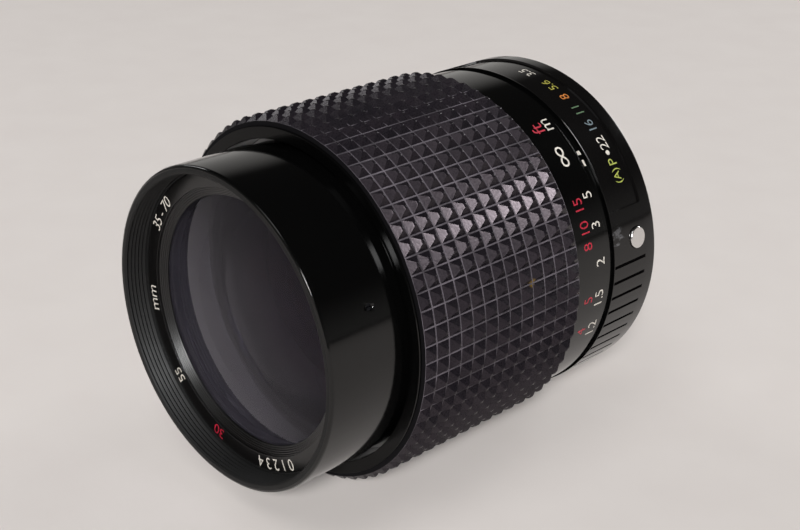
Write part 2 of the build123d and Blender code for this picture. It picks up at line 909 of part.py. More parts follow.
with BuildPart() as diaphragm_cover:
    turned((diaphragm_bore, cell_bore, cover_front, cover_rear))
    turned(
        (fork_bore - iris_gap, fork_radius + iris_gap, cover_front - overrun, cover_rear + overrun),
        start=lug_start - aperture_turn_back - slot_margin,
        sweep=lug_arc + iris_turn + 2 * slot_margin,
        mode=Mode.SUBTRACT,
    )
keep(diaphragm_cover.part, "diaphragm_cover")

# Relay lens behind the diaphragm
relay_wall = 2.0
relay_gap = 2.6
relay_radius = fork_bore - relay_gap - relay_wall
relay_cell_length = 7.5
relay_glass_length = 4.0
relay_bulge = 1.2
relay_edge = cover_rear + relay_bulge + side_gap
relay_rear_edge = relay_edge + relay_glass_length

with BuildPart() as relay_cell:
    turned((relay_radius, relay_radius + relay_wall, cover_rear, cover_rear + relay_cell_length))
keep(relay_cell.part, "relay_cell")

with BuildPart() as relay_element:
    turned_glass(
        relay_radius, relay_edge, relay_rear_edge, relay_edge - relay_bulge,
        relay_rear_edge + relay_bulge,
    )
keep(relay_element.part, "relay_element")

with BuildPart() as relay_retainer:
    turned(
        (
            relay_radius - seat_depth,
            relay_radius,
            relay_rear_edge + seat_gap,
            cover_rear + relay_cell_length - side_gap,
        )
    )
keep(relay_retainer.part, "relay_retainer")

# Aperture link: a ring inside the housing with a bar forward and a tab back to the camera
link_thickness = 2.0
link_width = 3.35
link_radius = housing_bore - iris_gap
link_bore = link_radius - link_width
tab_reach = 1.5

with BuildPart() as aperture_link:
    turned((link_bore, link_radius, link_y - link_thickness / 2, link_y + link_thickness / 2))
    turned(
        (lever_bore, link_bore + side_gap, link_y - link_thickness / 2, link_y + link_thickness / 2),
        start=link_angle - bar_sweep / 2,
        sweep=bar_sweep,
    )
    turned(
        (fork_bore, fork_radius, bar_front, link_y),
        start=link_angle - bar_sweep / 2,
        sweep=bar_sweep,
    )
    turned(
        (lever_bore, lever_radius, link_y, tab_reach),
        start=link_angle - bar_sweep / 2,
        sweep=bar_sweep,
    )
    radial_pin(
        link_screw_radius, link_angle, link_y, link_bore + link_screw_radius, link_radius + overrun,
        mode=Mode.SUBTRACT,
    )
keep(aperture_link.part, "aperture_link")

# Stop-down lever: an open ring on the rear lens cell, with a tab into the camera
lever_ring_sweep = 200.0
lever_ring_wall = 2.6
lever_ring_thickness = 1.0
lever_reach = 4.6
lever_setback = 1.8
lever_rear = plate_front - lever_setback
lever_front = lever_rear - lever_ring_thickness

with BuildPart() as stop_down_lever:
    turned(
        (
            rear_cell_radius + side_gap,
            rear_cell_radius + side_gap + lever_ring_wall,
            lever_front,
            lever_rear,
        ),
        start=lever_angle - lever_ring_sweep / 2,
        sweep=lever_ring_sweep,
    )
    turned(
        (lever_bore, lever_radius, lever_front, lever_reach),
        start=lever_angle - tab_sweep / 2,
        sweep=tab_sweep,
    )
keep(stop_down_lever.part, "stop_down_lever")

# Aperture ring: number band, ribs all round the rest, a rim behind, and the lock button's land
number_band_depth = 0.4
number_band_start = -22.0
number_band_end = 68.0
rear_rim_length = 2.9
rib_count = 64
rib_start = 87.7
rib_slot_width = 0.75
rib_slot_depth = 0.7
rib_round = 0.3
button_radius = 2.15
button_angle = 79.6
button_height = 1.4
button_rise = 0.4
button_front_share = 0.555
button_y = ring_front + aperture_ring_length * button_front_share
button_top = aperture_ring_radius + button_rise
button_bottom = button_top - button_height
washer_thickness = 0.25
pocket_floor = button_bottom - button_travel - washer_thickness - side_gap
screw_sink = 0.4
rib_pitch = 360 / rib_count
band_rear = ring_rear - rear_rim_length
rib_angles = [
    rib_start + turn * rib_pitch
    for turn in range(rib_count)
    if rib_start + turn * rib_pitch < number_band_start + 360 - rib_pitch / 2
]
notch_angles = [ball_angle - smallest_stop - stop * stop_spacing for stop in range(stop_count)]
notch_angles.append(ball_angle + aperture_turn_back)

with BuildPart() as aperture_ring:
    turned((ring_bore, aperture_ring_radius, ring_front, ring_rear))
    outer_edges = aperture_ring.edges().filter_by(GeomType.CIRCLE).sort_by(SortBy.RADIUS)[-2:]
    fillet(outer_edges.sort_by(Axis.Y)[-1], rib_round)
    turned(
        (
            aperture_ring_radius - number_band_depth,
            aperture_ring_radius + overrun,
            ring_front - overrun,
            band_rear,
        ),
        start=number_band_start,
        sweep=number_band_end - number_band_start,
        mode=Mode.SUBTRACT,
    )
    for angle in rib_angles:
        with Locations(radial_plane(aperture_ring_radius - rib_slot_depth, angle, band_rear)):
            Box(
                band_rear - ring_front + overrun,
                rib_slot_width,
                rib_slot_depth + overrun,
                align=(Align.MAX, Align.CENTER, Align.MIN),
                mode=Mode.SUBTRACT,
            )
    radial_pin(
        button_radius + side_gap, button_angle, button_y, pocket_floor, button_top + overrun,
        mode=Mode.SUBTRACT,
    )
    radial_pin(
        link_screw_radius, link_angle, link_y, ring_bore - overrun, button_top, mode=Mode.SUBTRACT
    )
    for angle in notch_angles:
        radial_pin(
            ball_radius / 2, angle, ball_y, ring_bore - overrun, ring_bore + side_gap, mode=Mode.SUBTRACT
        )
keep(aperture_ring.part, "aperture_ring")

with BuildPart() as link_screw:
    radial_pin(
        link_screw_radius, link_angle, link_y, link_bore + link_screw_radius + side_gap,
        aperture_ring_radius - rib_slot_depth - screw_sink,
    )
keep(link_screw.part, "link_screw")

with BuildPart() as lock_button:
    radial_pin(button_radius, button_angle, button_y, button_bottom, button_top)
    fillet(lock_button.edges().group_by(SortBy.DISTANCE)[-1], button_rise / 2)
keep(lock_button.part, "lock_button")

with BuildPart() as lock_spring_washer:
    radial_pin(
        button_radius - side_gap, button_angle, button_y, pocket_floor + running_gap,
        pocket_floor + running_gap + washer_thickness,
    )
    radial_pin(
        button_radius / 2, button_angle, button_y, pocket_floor - overrun, button_bottom,
        mode=Mode.SUBTRACT,
    )
keep(lock_spring_washer.part, "lock_spring_washer")
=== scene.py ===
"""The camera zoom lens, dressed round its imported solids.

The lens lies along Y, with its front rim at -Y, and +Z is up. Sizes are typed in millimetres and turned to
metres with mm. An angle round the axis is measured from straight up towards +X. An outline is a list of
(radius, y) points.
"""
import json
from math import atan2, copysign, cos, degrees, pi, radians, sin

import bpy
from mathutils import Matrix, Vector

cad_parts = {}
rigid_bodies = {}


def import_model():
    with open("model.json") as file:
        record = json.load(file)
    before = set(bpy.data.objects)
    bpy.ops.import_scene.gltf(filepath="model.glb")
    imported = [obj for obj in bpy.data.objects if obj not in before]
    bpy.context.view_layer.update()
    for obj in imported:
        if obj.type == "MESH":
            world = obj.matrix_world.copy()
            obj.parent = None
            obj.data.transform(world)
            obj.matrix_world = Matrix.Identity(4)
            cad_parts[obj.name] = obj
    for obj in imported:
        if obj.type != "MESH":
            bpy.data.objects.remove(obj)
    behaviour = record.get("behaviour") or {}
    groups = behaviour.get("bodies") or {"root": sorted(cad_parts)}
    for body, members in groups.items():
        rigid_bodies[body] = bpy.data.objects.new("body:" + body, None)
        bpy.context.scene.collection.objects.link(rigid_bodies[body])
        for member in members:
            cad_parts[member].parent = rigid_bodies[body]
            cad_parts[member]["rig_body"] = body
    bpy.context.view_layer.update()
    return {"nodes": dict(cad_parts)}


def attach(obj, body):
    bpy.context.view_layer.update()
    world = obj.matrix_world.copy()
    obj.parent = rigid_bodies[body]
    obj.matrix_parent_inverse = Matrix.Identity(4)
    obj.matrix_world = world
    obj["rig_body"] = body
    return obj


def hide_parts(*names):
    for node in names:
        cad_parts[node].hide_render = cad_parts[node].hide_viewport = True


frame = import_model()
mm = 0.001


# Camera: where the photo was taken from, a little above the lens and off its front right, with a 63 mm lens
# on a 36 mm frame. The place comes from circles of the lens measured in the photo.
camera_place = Vector((0.17180, -0.20293, 0.10516))
camera_right = Vector((0.69416, 0.71982, 0.0))
camera_up = Vector((-0.29175, 0.28135, 0.91418))

bpy.ops.object.select_all(action="DESELECT")
bpy.ops.object.camera_add()
camera = bpy.context.object
camera.name = "camera"
camera.data.lens = 63
camera.data.sensor_width = 36
camera.data.clip_start = 0.01
turn = Matrix((camera_right, camera_up, camera_right.cross(camera_up))).transposed().to_4x4()
camera.matrix_world = Matrix.Translation(camera_place) @ turn
bpy.context.scene.camera = camera


# Floor: a wide sheet of plain pale drawing paper that the lens lies on. It is matt, so it keeps only a soft
# shadow.
def linear(colour):
    """Turn an sRGB hex colour to the linear values that a shader takes."""
    parts = [int(colour[i : i + 2], 16) / 255 for i in (1, 3, 5)]
    return [c / 12.92 if c <= 0.04045 else ((c + 0.055) / 1.055) ** 2.4 for c in parts] + [1.0]


def add_node(material, kind, values=None, links=None, **settings):
    """Add a shader node with its settings, its socket values and the sockets that feed it."""
    tree = material.node_tree
    node = tree.nodes.new("ShaderNode" + kind)
    for name, value in settings.items():
        setattr(node, name, value)
    for socket, value in (values or {}).items():
        node.inputs[socket].default_value = value
    for socket, source in (links or {}).items():
        tree.links.new(source, node.inputs[socket])
    return node


def mottled_tone(material, noise, dark, pale, dark_until=0.0, pale_from=1.0):
    """Let a colour drift between two tones with a noise, and give the socket that holds it."""
    place = add_node(material, "TexCoord").outputs["Object"]
    cloud = add_node(material, "TexNoise", noise, {"Vector": place})
    tone = add_node(material, "ValToRGB", links={"Fac": cloud.outputs["Fac"]})
    stops = tone.color_ramp.elements
    stops[0].position, stops[1].position = dark_until, pale_from
    stops[0].color, stops[1].color = dark, pale
    return tone.outputs["Color"]


def new_finish(name, **values):
    """Start a finish: a material with one Principled shader, whose sockets are given by name."""
    material = bpy.data.materials.new(name)
    material.use_nodes = True
    surface = material.node_tree.nodes["Principled BSDF"]
    for socket, value in values.items():
        surface.inputs[socket.replace("_", " ")].default_value = value
    return material, surface


# uncoated drawing paper: pale, warm and dull, faintly mottled by its fibres
paper, surface = new_finish("pale_paper", Roughness=0.9, Specular_IOR_Level=0.2)
place = add_node(paper, "TexCoord").outputs["Object"]
fibres = add_node(paper, "TexNoise", {"Scale": 60.0, "Detail": 4.0}, {"Vector": place})
paper_tone = add_node(
    paper, "Mix", {"A": linear("#d3ccc8"), "B": linear("#d9d3cf")}, {"Factor": fibres.outputs["Fac"]},
    data_type="RGBA",
)
paper.node_tree.links.new(paper_tone.outputs["Result"], surface.inputs["Base Color"])

floor_height = -33.6 * mm
bpy.ops.object.select_all(action="DESELECT")
bpy.ops.mesh.primitive_plane_add(size=5000 * mm, location=(0, 0, floor_height))
floor = bpy.context.object
floor.name = "floor"
floor.data.materials.append(paper)


# Lamps: one soft box far off above the camera, which lights the sides that face the picture, dim ones
# overhead, to the left and behind, and a dim room. All are measured from the middle of the lens.
middle = Vector((0, -40 * mm, 0))


def soft_box(name, away, width, watts, spread=180.0):
    """Hang a square soft box that faces the lens. A narrow spread keeps it off the floor below it."""
    bpy.ops.object.select_all(action="DESELECT")
    bpy.ops.object.light_add(type="AREA", location=middle + Vector(away))
    lamp = bpy.context.object
    lamp.name = name
    lamp.data.size = width
    lamp.data.energy = watts
    lamp.data.spread = radians(spread)
    lamp.rotation_euler = (-Vector(away)).to_track_quat("-Z", "Y").to_euler()


soft_box("key_lamp", (2.16, -2.32, 1.84), 0.8, 15.0, 51.0)
soft_box("top_lamp", (0.1, -0.5, 1.0), 0.5, 2.0)
soft_box("left_lamp", (-0.9, -0.05, 0.5), 0.3, 1.5)
soft_box("rear_lamp", (0.1, 0.95, 0.4), 0.3, 2.5)

# the room: grey round the horizon and dark overhead, so gloss black shows a soft light only near its edges
room = bpy.data.worlds.new("dim_room")
room.use_nodes = True
sky = add_node(room, "TexCoord").outputs["Generated"]
height = add_node(room, "SeparateXYZ", links={"Vector": sky}).outputs["Z"]
glow = add_node(
    room, "MapRange", {"From Min": -0.02, "From Max": 0.4, "To Min": 0.3, "To Max": 0.03},
    {"Value": height}, interpolation_type="SMOOTHSTEP",
)
# a pale wall behind the lens to the left, which the top of the gloss barrel mirrors
wall_direction = Vector((-0.72, 0.63, 0.2)).normalized()
wall = add_node(room, "VectorMath", {1: wall_direction}, {0: sky}, operation="DOT_PRODUCT")
wall_glow = add_node(
    room, "MapRange", {"From Min": 0.91, "From Max": 0.995, "To Max": 0.6},
    {"Value": wall.outputs["Value"]}, interpolation_type="SMOOTHSTEP",
)
light = add_node(
    room, "Math", links={0: glow.outputs["Result"], 1: wall_glow.outputs["Result"]}, operation="ADD"
)
background = room.node_tree.nodes["Background"]
background.inputs["Color"].default_value = linear("#d9d6d2")
room.node_tree.links.new(light.outputs["Value"], background.inputs["Strength"])
bpy.context.scene.world = room
bpy.context.scene.view_settings.view_transform = "Standard"


# Inner metalwork: tubes, cells and plates of turned aluminium, bare or anodised matt black against stray
# light, with brass where pieces slide. Only the plate, screws, lever and pin at the back show from outside.
def turning_marks(material, surface, pitch, depth, roughness, spread):
    """Give a finish the fine rings that a lathe tool leaves, and a roughness that drifts."""
    place = add_node(material, "TexCoord").outputs["Object"]
    rings = add_node(
        material, "TexWave", {"Scale": 1 / (20 * pitch * mm), "Distortion": 1.5, "Detail": 2.0},
        {"Vector": place}, wave_type="BANDS", bands_direction="Y",
    )
    cloud = add_node(material, "TexNoise", {"Scale": 180.0, "Detail": 3.0}, {"Vector": place})
    shine = add_node(
        material, "MapRange", {"To Min": roughness - spread, "To Max": roughness + spread},
        {"Value": cloud.outputs["Fac"]},
    )
    bump = add_node(
        material, "Bump", {"Strength": 0.3, "Distance": depth * mm}, {"Height": rings.outputs["Fac"]}
    )
    material.node_tree.links.new(shine.outputs["Result"], surface.inputs["Roughness"])
    material.node_tree.links.new(bump.outputs["Normal"], surface.inputs["Normal"])


# turned aluminium, left bare: bright, with rings that catch the light
turned_aluminium, surface = new_finish("turned_aluminium", Metallic=1.0)
surface.inputs["Base Color"].default_value = linear("#c4c5c7")
turning_marks(turned_aluminium, surface, 0.25, 0.01, 0.32, 0.06)

# matt black anodising over turned aluminium: swallows light, with a faint sheen at a flat angle
matt_anodised, surface = new_finish("matt_black_anodised_aluminium", Specular_IOR_Level=0.25)
surface.inputs["Base Color"].default_value = linear("#0d0d0d")
turning_marks(matt_anodised, surface, 0.3, 0.01, 0.55, 0.08)

# turned brass, as cut: warm, with fine rings
turned_brass, surface = new_finish("turned_brass", Metallic=1.0)
surface.inputs["Base Color"].default_value = linear("#c79f55")
turning_marks(turned_brass, surface, 0.25, 0.01, 0.3, 0.06)

# plated steel of small screws, balls and springs: grey and fairly bright
plated_steel, surface = new_finish("plated_steel", Metallic=1.0)
surface.inputs["Base Color"].default_value = linear("#b3b3b5")
turning_marks(plated_steel, surface, 0.15, 0.004, 0.25, 0.05)

# blackened steel: small screws and the thin blades, dark with an oily sheen
black_steel, surface = new_finish("blackened_steel", Metallic=1.0)
surface.inputs["Base Color"].default_value = linear("#3a3b3f")
turning_marks(black_steel, surface, 0.2, 0.004, 0.38, 0.06)

# black lacquer on the end faces of the grip's sleeve and of the aperture ring: smooth, with little shine
black_lacquer, surface = new_finish("black_lacquer", Roughness=0.15, Specular_IOR_Level=0.12)
surface.inputs["Base Color"].default_value = linear("#030303")

# moulded black nylon of the rear baffle: dull, with a fine spark-eroded grain
black_nylon, surface = new_finish("moulded_black_nylon", Roughness=0.7)
surface.inputs["Base Color"].default_value = linear("#141414")
grain_place = add_node(black_nylon, "TexCoord").outputs["Object"]
grain = add_node(black_nylon, "TexNoise", {"Scale": 4000.0, "Detail": 2.0}, {"Vector": grain_place})
grain_bump = add_node(
    black_nylon, "Bump", {"Strength": 0.4, "Distance": 0.02 * mm}, {"Height": grain.outputs["Fac"]}
)
black_nylon.node_tree.links.new(grain_bump.outputs["Normal"], surface.inputs["Normal"])

# velvet light seal: flocked black fibre, all sheen and no shine
velvet, surface = new_finish("black_velvet", Roughness=1.0, Sheen_Weight=0.4, Sheen_Roughness=0.4)
surface.inputs["Base Color"].default_value = linear("#0c0c0c")
pile_place = add_node(velvet, "TexCoord").outputs["Object"]
pile = add_node(velvet, "TexNoise", {"Scale": 6000.0}, {"Vector": pile_place})
pile_bump = add_node(
    velvet, "Bump", {"Strength": 0.8, "Distance": 0.1 * mm}, {"Height": pile.outputs["Fac"]}
)
velvet.node_tree.links.new(pile_bump.outputs["Normal"], surface.inputs["Normal"])

inner_finishes = {
    turned_aluminium: ["rear_housing", "fixed_barrel", "cam_stop_ring", "cam_tube", "zoom_carriage"],
    matt_anodised: [
        "rear_plate", "rear_lens_cell", "rear_retainer", "front_lens_cell", "rear_group_cell",
        "variator_retainer", "diaphragm_plate", "diaphragm_cover", "relay_cell", "relay_retainer",
    ],
    turned_brass: [
        "zoom_keys", "helicoid_tube", "cam_followers", "iris_ring", "aperture_link", "stop_down_lever",
        "data_pin",
    ],
    plated_steel: [
        "mount_screws", "detent_ball", "detent_spring", "focus_stop_screw", "lock_spring_washer",
    ],
    black_steel: ["barrel_set_screw", "link_screw"] + [f"iris_blade_{n}" for n in range(1, 7)],
    black_nylon: ["rear_baffle"],
    velvet: ["velvet_ring"],
}
for material, names in inner_finishes.items():
    for name in names:
        mesh = frame["nodes"][name].data
        mesh.materials.clear()
        mesh.materials.append(material)


# Glass: round elements with ground and polished faces, vacuum coated, which gives each face a faint
# coloured reflection. The solids' faces are coarse, so each element is turned again with smooth faces.
def open_edit(name, radius, y, sides):
    """Start a turned piece: a circle of vertices square to the axis, selected in edit mode."""
    bpy.ops.object.select_all(action="DESELECT")
    bpy.ops.mesh.primitive_circle_add(
        vertices=sides, radius=radius * mm, location=(0, y * mm, 0), rotation=(pi / 2, 0, 0)
    )
    piece = bpy.context.object
    piece.name = piece.data.name = name
    bpy.ops.object.transform_apply()
    bpy.ops.object.mode_set(mode="EDIT")
    bpy.ops.mesh.select_mode(type="VERT")
    bpy.ops.mesh.select_all(action="SELECT")
    return piece


def follow_outline(outline):
    """Draw the selected circle out along (radius, y) points, as a lathe tool follows a profile."""
    for (radius, y), (next_radius, next_y) in zip(outline, outline[1:]):
        bpy.ops.mesh.extrude_region_move(TRANSFORM_OT_translate={"value": (0, (next_y - y) * mm, 0)})
        if next_radius != radius:
            scale = next_radius / radius
            bpy.ops.transform.resize(value=(scale, 1, scale), center_override=(0, next_y * mm, 0))


def shade_flat_faces_true(piece, smooth_angle):
    """Shade a piece smooth up to an angle, with each large face's own normal kept at its edges."""
    bpy.ops.object.shade_smooth_by_angle(angle=radians(smooth_angle))
    weigh = piece.modifiers.new("weighted_normals", "WEIGHTED_NORMAL")
    weigh.weight = 100
    weigh.keep_sharp = True
    bpy.ops.object.modifier_apply(modifier=weigh.name)


def round_edges_off(piece, width, sharp_angle=30, segments=2):
    """Round the edges of a piece that turn more than an angle."""
    rounding = piece.modifiers.new("rounded_edges", "BEVEL")
    rounding.width = width * mm
    rounding.segments = segments
    rounding.limit_method = "ANGLE"
    rounding.angle_limit = radians(sharp_angle)
    bpy.ops.object.modifier_apply(modifier=rounding.name)


def off_axis(spot):
    """How far a point lies from the axis."""
    return (spot.x**2 + spot.z**2) ** 0.5


def close_edit(piece, smooth_angle=30, round_edges=0):
    """Finish a turned piece: weld it, turn its faces outwards, round its edges and shade it."""
    bpy.ops.mesh.select_all(action="SELECT")
    bpy.ops.mesh.remove_doubles(threshold=1e-7)
    bpy.ops.mesh.normals_make_consistent(inside=False)
    bpy.ops.object.mode_set(mode="OBJECT")
    if round_edges:
        round_edges_off(piece, round_edges, smooth_angle)
    shade_flat_faces_true(piece, smooth_angle)


def turn_on_lathe(name, outline, sides=192, round_edges=0.0, smooth_angle=30):
    """Turn a closed outline into a ring."""
    piece = open_edit(name, *outline[0], sides)
    follow_outline(outline + outline[:1])
    close_edit(piece, smooth_angle, round_edges)
    return piece


def plain_section(bore, radius, front, rear):
    """The outline of a ring whose section is a rectangle."""
    return [(bore, front), (radius, front), (radius, rear), (bore, rear)]


def finish_where(piece, number, wanted):
    """Give the faces that pass a test another of the piece's finishes."""
    for face in piece.data.polygons:
        if wanted(face):
            face.material_index = number


def put_on(piece, node, slot, *finishes):
    """Let a piece stand for a solid: it takes its finishes and rides on the same body."""
    for finish in finishes:
        piece.data.materials.append(finish)
    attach(piece, frame["nodes"][node]["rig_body"])
    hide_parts(node)


def polished_face(radius, edge, vertex, steps=14):
    """The outline of a spherical glass face, from the axis to the edge."""
    depth = edge - vertex
    ball = (radius**2 + depth**2) / (2 * depth)
    points = []
    for step in range(steps + 1):
        across = max(radius * step / steps, 0.01)
        points.append((across, vertex + ball - copysign((ball**2 - across**2) ** 0.5, ball)))
    return points


def grind_element(name, radius, front_edge, rear_edge, front_vertex, rear_vertex):
    """Turn a glass element from where its two faces meet the edge and the axis."""
    front = polished_face(radius, front_edge, front_vertex)
    rear = polished_face(radius, rear_edge, rear_vertex)
    outline = front + rear[::-1]
    piece = open_edit(name, *outline[0], 128)
    bpy.ops.mesh.edge_face_add()
    follow_outline(outline)
    bpy.ops.mesh.select_all(action="SELECT")
    close_edit(piece, 40)
    finish_where(piece, 1, lambda face: off_axis(face.center) > (radius - 0.05) * mm)
    return piece


# multi-coated optical glass: clear and dark to look into, with a weak reflection that the coating tints
# violet on the outer elements and amber on the inner ones. It lets the lamps' light straight through.
def coat_glass(name, tint):
    """Make the glass of one coating."""
    glass, surface = new_finish(name, Roughness=0.0, IOR=1.5, Transmission_Weight=1.0)
    surface.inputs["Base Color"].default_value = linear("#a19fa8")
    surface.inputs["Specular Tint"].default_value = linear(tint)
    clear = add_node(glass, "BsdfTransparent", {"Color": linear("#b4b2b9")})
    shadow = add_node(glass, "LightPath").outputs["Is Shadow Ray"]
    either = add_node(
        glass, "MixShader", links={0: shadow, 1: surface.outputs["BSDF"], 2: clear.outputs["BSDF"]}
    )
    output = glass.node_tree.nodes["Material Output"]
    glass.node_tree.links.new(either.outputs["Shader"], output.inputs["Surface"])
    return glass


violet_glass = coat_glass("violet_coated_glass", "#6a6388")
amber_glass = coat_glass("amber_coated_glass", "#c99c7d")

# ground edge of an element: frosted by the grinding wheel, a dull grey against the black cell
ground_glass, surface = new_finish("ground_glass_edge", Roughness=0.8)
frost = mottled_tone(ground_glass, {"Scale": 120.0, "Detail": 3.0}, linear("#201e22"), linear("#3a373c"))
ground_glass.node_tree.links.new(frost, surface.inputs["Base Color"])

front_radius = 22.5
# radius, then where the faces meet the edge, in front and behind, and then where they cross the axis
elements = {
    "front_element": (front_radius, -73.3, -66.0, -75.0, -71.0),
    "front_doublet": (front_radius, -64.7, -60.9, -67.3, -62.9),
    "variator_front_element": (18.0, -42.58, -40.64, -41.83, -41.015),
    "variator_rear_element": (18.0, -40.54, -37.9, -40.165, -38.65),
    "relay_element": (15.0, -32.3, -28.3, -33.5, -27.1),
    "rear_element": (16.0, -11.8, -5.4, -11.1, -4.0),
}
for name, sizes in elements.items():
    coated = violet_glass if name in ("front_element", "rear_element") else amber_glass
    put_on(grind_element(name + "_glass", *sizes), name, "coated_glass", coated, ground_glass)


# Front barrel: a turned aluminium tube, anodised and polished gloss black. The filter thread is cut inside
# its rim and a small grub screw is sunk in its side. It moves out when the lens is focused.
rim_front, cell_rear, barrel_rear = -79.5, -62.0, -57.0
barrel_radius, rim_round = 28.75, 0.6
skirt_radius, skirt_front = 28.4, -64.6
seat_bore, cell_bore, rear_bore = 26.8, 25.2, 27.6
matt_within = 27.8
thread_bore, thread_start = 27.1, -79.1
thread_pitch, thread_depth, thread_turns = 0.75, 0.4, 5
name_front, name_rear = -74.9, -72.9
screw_angle, screw_y, screw_land = 68.2, -69.7, 1.2
screw_radius, screw_bottom, screw_top = 0.6, 27.35, 28.55

# gloss black anodising, polished: mirrors the paper and the dim room, with a trace of the lathe's rings
gloss_anodised, surface = new_finish("gloss_black_anodised_aluminium", Specular_IOR_Level=0.42)
surface.inputs["Base Color"].default_value = linear("#040404")
turning_marks(gloss_anodised, surface, 0.35, 0.0005, 0.1, 0.03)


def square_on(angle, y, radius):
    """The point at a radius and an angle round the axis, and the turn that stands a primitive on it."""
    spot = Vector((radius * sin(radians(angle)), y, radius * cos(radians(angle)))) * mm
    return spot, (0, radians(angle), 0)


def cut_away(piece, tool):
    """Cut a tool's shape out of a piece and clear the tool away."""
    cut = piece.modifiers.new("cut", "BOOLEAN")
    cut.object = tool
    bpy.ops.object.select_all(action="DESELECT")
    piece.select_set(True)
    bpy.context.view_layer.objects.active = piece
    bpy.ops.object.modifier_apply(modifier=cut.name)
    bpy.data.objects.remove(tool)


def stand_rod(name, radius, angle, y, bottom, top, sides=48):
    """Stand a round rod square to the axis, between two distances from it."""
    spot, turn = square_on(angle, y, (bottom + top) / 2)
    bpy.ops.object.select_all(action="DESELECT")
    bpy.ops.mesh.primitive_cylinder_add(
        vertices=sides, radius=radius * mm, depth=(top - bottom) * mm, location=spot, rotation=turn
    )
    rod = bpy.context.object
    rod.name = rod.data.name = name
    bpy.ops.object.transform_apply()
    return rod


outline = [(thread_bore + 0.3, rim_front), (thread_bore, rim_front + 0.3)]
for groove in range(thread_turns):
    groove_y = thread_start + groove * thread_pitch
    outline += [
        (thread_bore, groove_y),
        (thread_bore + thread_depth, groove_y + thread_pitch / 2),
        (thread_bore, groove_y + thread_pitch),
    ]
outline += [
    (thread_bore, name_front), (seat_bore, name_front), (seat_bore, name_rear), (cell_bore, name_rear),
    (cell_bore, cell_rear), (rear_bore, cell_rear), (rear_bore, barrel_rear), (skirt_radius, barrel_rear),
    (skirt_radius, skirt_front), (barrel_radius, skirt_front), (barrel_radius, screw_y + screw_land),
    (barrel_radius, screw_y - screw_land), (barrel_radius, rim_front + rim_round),
    (barrel_radius - 0.3 * rim_round, rim_front + 0.3 * rim_round), (barrel_radius - rim_round, rim_front),
]
barrel = turn_on_lathe("front_barrel_tube", outline, 256, round_edges=0.06)
drill = stand_rod("drill", screw_radius + 0.05, screw_angle, screw_y, screw_bottom, barrel_radius + 1.25)
cut_away(barrel, drill)
shade_flat_faces_true(barrel, 30)
finish_where(barrel, 1, lambda face: off_axis(face.center) < matt_within * mm)
put_on(barrel, "front_barrel", "gloss_black_aluminium", gloss_anodised, matt_anodised)

# the grub screw, blackened, with a driver slot
grub = stand_rod("barrel_grub_screw", screw_radius, screw_angle, screw_y, screw_bottom, screw_top, 32)
spot, turn = square_on(screw_angle, screw_y, screw_top + 0.05)
bpy.ops.mesh.primitive_cube_add(size=mm, location=spot, rotation=turn, scale=(0.22, 2, 1))
bpy.ops.object.transform_apply()
cut_away(grub, bpy.context.object)
shade_flat_faces_true(grub, 30)
put_on(grub, "barrel_set_screw", "screw_steel", black_steel)


# Name ring and retaining ring: thin turned rings round the glass, anodised satin black. The retaining ring
# is ridged against stray light.
ring_split = 24.0
retaining_bore = 22.7
ridges, cone_front, cone_width, cone_depth = 5, -74.5, 1.7, 0.8

satin_anodised, surface = new_finish("satin_black_anodised_aluminium", IOR=1.5)
surface.inputs["Base Color"].default_value = linear("#0b0a0a")
turning_marks(satin_anodised, surface, 0.3, 0.004, 0.3, 0.05)

name_section = plain_section(ring_split, seat_bore - 0.05, name_front, name_rear)
name_plate = turn_on_lathe("name_ring_plate", name_section, round_edges=0.1)
put_on(name_plate, "name_ring", "black_aluminium", satin_anodised)

outline = [(ring_split, cone_front)]
for ridge in range(ridges):
    near, far = ridge / ridges, (ridge + 1) / ridges
    outline.append((ring_split - cone_width * (near + 0.6 / ridges), cone_front + cone_depth * near))
    outline.append((ring_split - cone_width * far, cone_front + cone_depth * far))
outline += [(retaining_bore, cone_front + cone_depth), (retaining_bore, name_rear), (ring_split, name_rear)]
retaining = turn_on_lathe("ridged_retaining_ring", outline, smooth_angle=20)
put_on(retaining, "front_retaining_ring", "black_aluminium", satin_anodised)


# Filled engraving: numerals and marks cut into the rings and filled with paint. Each is a flat outline with
# a little depth, bent round its ring.
mark_top, mark_root = 0.015, -0.05


def wrap_mark(text, height, bend, width=None):
    """Draw a text, scale it to its height, or to a width too, and bend it round a ring."""
    bpy.ops.object.select_all(action="DESELECT")
    bpy.ops.object.text_add()
    mark = bpy.context.object
    mark.data.body = text
    # any depth does, because the two sides are put in place below; strokes are thinned and set closer
    mark.data.extrude = 0.02
    mark.data.resolution_u = 5
    mark.data.offset = -0.006
    mark.data.space_character = 0.94
    bpy.ops.object.convert(target="MESH")
    mark = bpy.context.object
    points = [vertex.co for vertex in mark.data.vertices]
    low = Vector([min(p[i] for p in points) for i in range(3)])
    high = Vector([max(p[i] for p in points) for i in range(3)])
    tall = height * mm / (high.y - low.y)
    wide = width * mm / (high.x - low.x) if width else tall
    centre = (low + high) / 2
    for vertex in mark.data.vertices:
        across, up, rise = vertex.co - centre
        vertex.co = bend(across * wide, up * tall, (mark_top if rise > 0 else mark_root) * mm)
    return mark


def round_ring(radius, angle, y):
    """Bend a mark onto the outside of a ring, with its top forward."""
    def bend(across, up, rise):
        turned = radians(angle) - across / (radius * mm)
        far = radius * mm + rise
        return far * sin(turned), y * mm - up, far * cos(turned)
    return bend


def round_face(radius, angle, y):
    """Bend a mark round a ring's front face, with its top outward."""
    def bend(across, up, rise):
        turned = radians(angle) + across / (radius * mm)
        far = radius * mm + up
        return far * sin(turned), y * mm - rise, far * cos(turned)
    return bend


